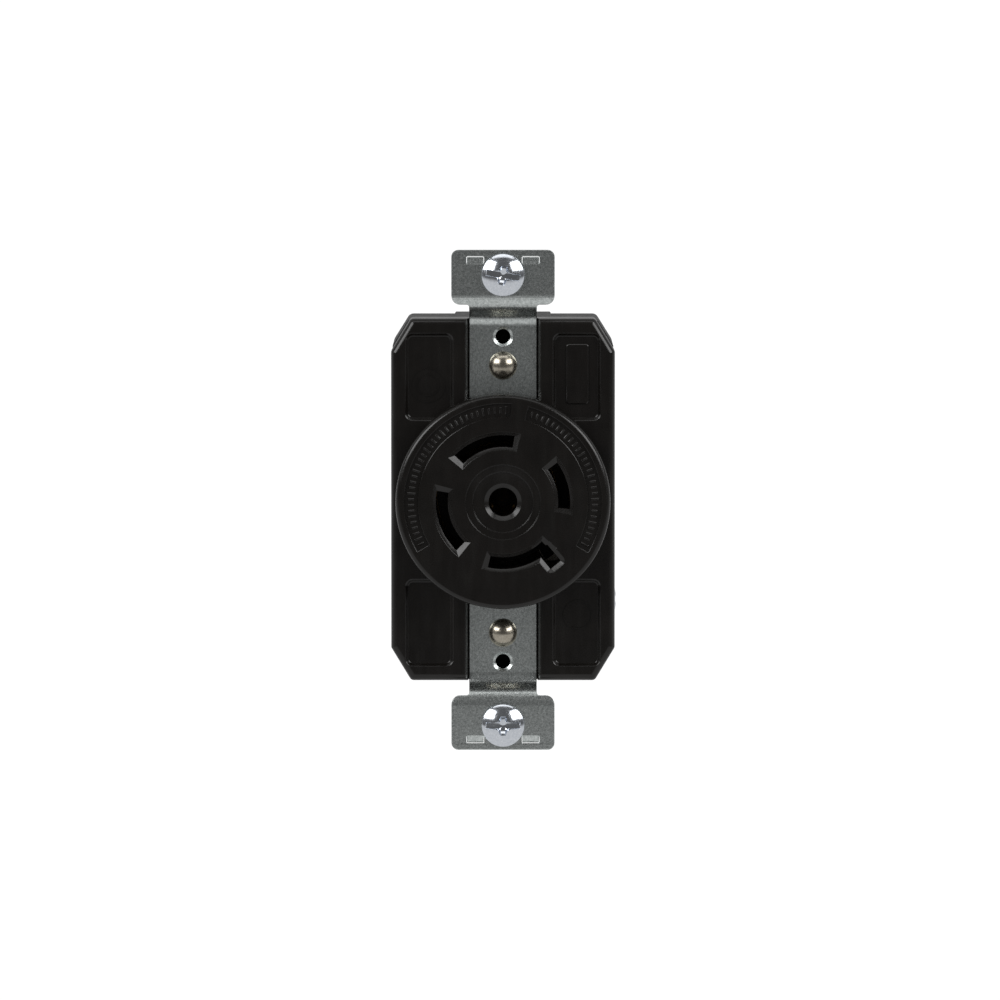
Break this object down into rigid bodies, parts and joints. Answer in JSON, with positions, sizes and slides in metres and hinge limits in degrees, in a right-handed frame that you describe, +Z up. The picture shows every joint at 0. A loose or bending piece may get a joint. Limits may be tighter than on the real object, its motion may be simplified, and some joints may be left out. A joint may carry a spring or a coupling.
{
  "type": "locking receptacle",
  "caption": "Black box-mounted locking receptacle: round face with curved blade slots and a grounding hole on a plated steel strap with captive mounting screws.",
  "frame": {"origin": "on the axis of the grounding hole, midway between the two mounting screws, level with the back of the mounting ears", "axes": "+Z up along the strap, -Y out of the face towards the plug, +X to the right as seen from the front"},
  "size_m": [0.042, 0.0395, 0.0926],
  "materials": {
    "cover_plastic": "moulded black nylon, satin",
    "body_plastic": "moulded black nylon, matte",
    "zinc_strap": "zinc-plated sheet steel, satin",
    "zinc_screw": "bright zinc-plated steel",
    "rivet_nickel": "nickel-plated brass, satin",
    "fibre": "vulcanised fibre",
    "contact_brass": "stamped brass",
    "contact_nickel": "nickel-plated brass",
    "spring_steel": "spring steel",
    "screw_brass": "brass-plated steel",
    "screw_green": "green-dyed zinc-plated steel",
    "clamp_steel": "zinc-plated steel"
  },
  "bodies": {
    "root": {"front_cover": "cover_plastic", "back_body": "body_plastic", "mounting_strap": "zinc_strap", "assembly_rivet_upper": "rivet_nickel", "assembly_rivet_lower": "rivet_nickel", "contact_line_x": "contact_brass", "contact_line_y": "contact_brass", "contact_line_z": "contact_brass", "contact_neutral": "contact_nickel", "contact_ground": "contact_brass", "contact_spring_x": "spring_steel", "contact_spring_y": "spring_steel", "contact_spring_z": "spring_steel", "contact_spring_neutral": "spring_steel", "ground_bond": "contact_brass"},
    "retainer_upper": {"retainer_washer_upper": "fibre"},
    "mount_screw_upper": {"mounting_screw_upper": "zinc_screw"},
    "retainer_lower": {"retainer_washer_lower": "fibre"},
    "mount_screw_lower": {"mounting_screw_lower": "zinc_screw"},
    "clamp_x": {"wire_clamp_x": "clamp_steel"},
    "screw_x": {"terminal_screw_x": "screw_brass"},
    "clamp_y": {"wire_clamp_y": "clamp_steel"},
    "screw_y": {"terminal_screw_y": "screw_brass"},
    "clamp_z": {"wire_clamp_z": "clamp_steel"},
    "screw_z": {"terminal_screw_z": "screw_brass"},
    "clamp_neutral": {"wire_clamp_neutral": "clamp_steel"},
    "screw_neutral": {"terminal_screw_neutral": "zinc_screw"},
    "clamp_ground": {"wire_clamp_ground": "clamp_steel"},
    "screw_ground": {"terminal_screw_ground": "screw_green"}
  },
  "joints": [
    {"name": "captive_play_upper", "type": "slide", "parent": "root", "child": "retainer_upper", "axis": [0, -1, 0], "range_m": [0, 0.00205]},
    {"name": "mount_screw_turn_upper", "type": "hinge", "parent": "retainer_upper", "child": "mount_screw_upper", "pos_m": [0, 0, 0.04167], "axis": [0, -1, 0], "continuous": true},
    {"name": "captive_play_lower", "type": "slide", "parent": "root", "child": "retainer_lower", "axis": [0, -1, 0], "range_m": [0, 0.00205]},
    {"name": "mount_screw_turn_lower", "type": "hinge", "parent": "retainer_lower", "child": "mount_screw_lower", "pos_m": [0, 0, -0.04167], "axis": [0, -1, 0], "continuous": true},
    {"name": "clamp_slide_x", "type": "slide", "parent": "root", "child": "clamp_x", "axis": [1, 0, 0], "range_m": [-0.00135, 0.0025]},
    {"name": "screw_turn_x", "type": "hinge", "parent": "clamp_x", "child": "screw_x", "pos_m": [0, 0.02, 0.02], "axis": [1, 0, 0], "range_deg": [-613, 1134]},
    {"name": "clamp_slide_y", "type": "slide", "parent": "root", "child": "clamp_y", "axis": [-1, 0, 0], "range_m": [-0.00135, 0.0025]},
    {"name": "screw_turn_y", "type": "hinge", "parent": "clamp_y", "child": "screw_y", "pos_m": [0, 0.02, 0.02], "axis": [-1, 0, 0], "range_deg": [-613, 1134]},
    {"name": "clamp_slide_z", "type": "slide", "parent": "root", "child": "clamp_z", "axis": [-1, 0, 0], "range_m": [-0.00135, 0.0025]},
    {"name": "screw_turn_z", "type": "hinge", "parent": "clamp_z", "child": "screw_z", "pos_m": [0, 0.02, -0.02], "axis": [-1, 0, 0], "range_deg": [-613, 1134]},
    {"name": "clamp_slide_neutral", "type": "slide", "parent": "root", "child": "clamp_neutral", "axis": [1, 0, 0], "range_m": [-0.00325, 0.0006]},
    {"name": "screw_turn_neutral", "type": "hinge", "parent": "clamp_neutral", "child": "screw_neutral", "pos_m": [0, 0.02, -0.02], "axis": [1, 0, 0], "range_deg": [-1474, 273]},
    {"name": "clamp_slide_ground", "type": "slide", "parent": "root", "child": "clamp_ground", "axis": [0, 0, -1], "range_m": [-0.00255, 0.0008]},
    {"name": "screw_turn_ground", "type": "hinge", "parent": "clamp_ground", "child": "screw_ground", "pos_m": [0.013, 0.02, 0], "axis": [0, 0, -1], "range_deg": [-1157, 363]}
  ],
  "couplings": [
    {"joint": "screw_turn_x", "follows": "clamp_slide_x", "rad_per_m": 7913.3},
    {"joint": "screw_turn_y", "follows": "clamp_slide_y", "rad_per_m": 7913.3},
    {"joint": "screw_turn_z", "follows": "clamp_slide_z", "rad_per_m": 7913.3},
    {"joint": "screw_turn_neutral", "follows": "clamp_slide_neutral", "rad_per_m": 7913.3},
    {"joint": "screw_turn_ground", "follows": "clamp_slide_ground", "rad_per_m": 7913.3}
  ]
}
